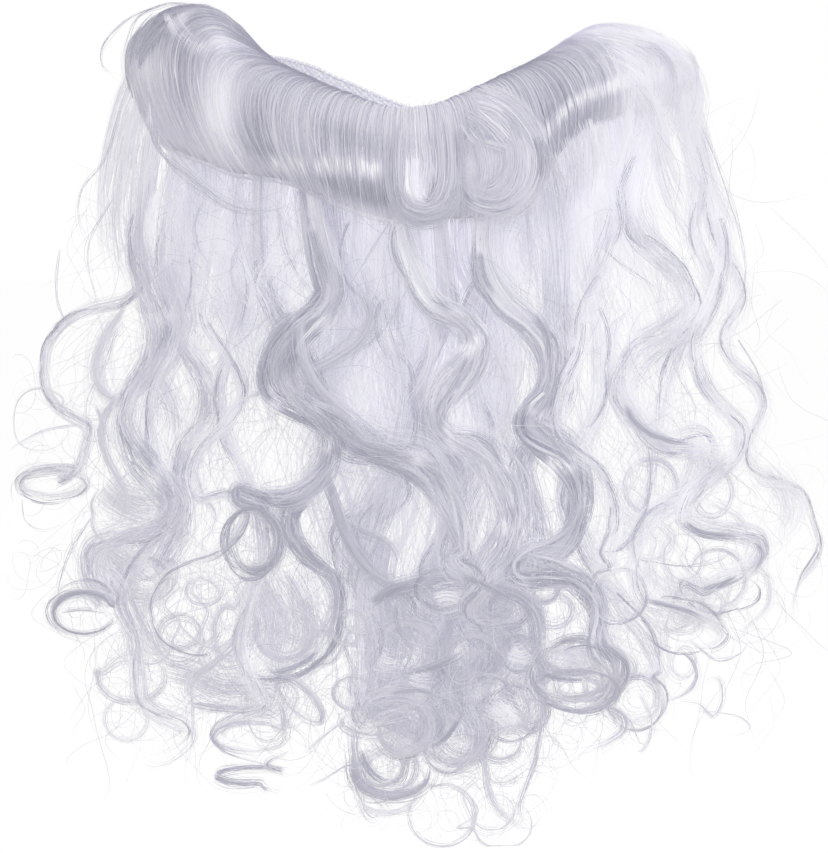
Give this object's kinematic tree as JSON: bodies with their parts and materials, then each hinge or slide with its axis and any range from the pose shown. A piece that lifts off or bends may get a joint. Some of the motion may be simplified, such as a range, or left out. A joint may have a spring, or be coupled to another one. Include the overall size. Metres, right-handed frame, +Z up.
{
  "type": "fake beard",
  "caption": "Long white curly false beard: a curved knitted chin band with a combed, rolled front edge of smooth hair and layered wavy locks that end in ringlets.",
  "frame": {"origin": "inner face of the knitted band, at the middle of its top edge, where it sits on the wearer's chin", "axes": "+X to the right as seen from the front, +Y into the wearer's chin, away from the hair, +Z up"},
  "size_m": [0.3498, 0.1711, 0.3343],
  "materials": {
    "net": "matte knitted net",
    "roll_hair": "silky combed synthetic hair",
    "lock_hair": "silky curled synthetic hair",
    "under_hair": "soft frizzy synthetic hair"
  },
  "bodies": {
    "root": {"base_net": "net", "end_tuft_left": "roll_hair", "hair_roll_left": "roll_hair", "hair_roll_centre": "roll_hair", "hair_roll_right": "roll_hair", "end_tuft_right": "roll_hair", "curl_centre": "roll_hair", "curl_right": "roll_hair", "under_layer_left": "under_hair", "under_layer_centre": "under_hair", "under_layer_right": "under_hair", "lock_far_left": "lock_hair", "lock_left_outer": "lock_hair", "lock_left_inner": "lock_hair", "lock_left_thin": "lock_hair", "lock_left_dark": "lock_hair", "lock_left_ring": "lock_hair", "lock_left_loop": "lock_hair", "lock_centre_left": "lock_hair", "lock_centre_s": "lock_hair", "lock_centre_back": "lock_hair", "lock_right_centre": "lock_hair", "lock_right_back": "lock_hair", "lock_right_pale": "lock_hair", "lock_right": "lock_hair", "lock_right_thin": "lock_hair", "lock_right_outer": "lock_hair", "lock_far_right": "lock_hair", "lock_bottom_left": "lock_hair", "lock_bottom_far_left": "lock_hair", "lock_bottom_centre": "lock_hair", "lock_bottom_mid": "lock_hair", "lock_bottom_right": "lock_hair"}
  },
  "joints": []
}
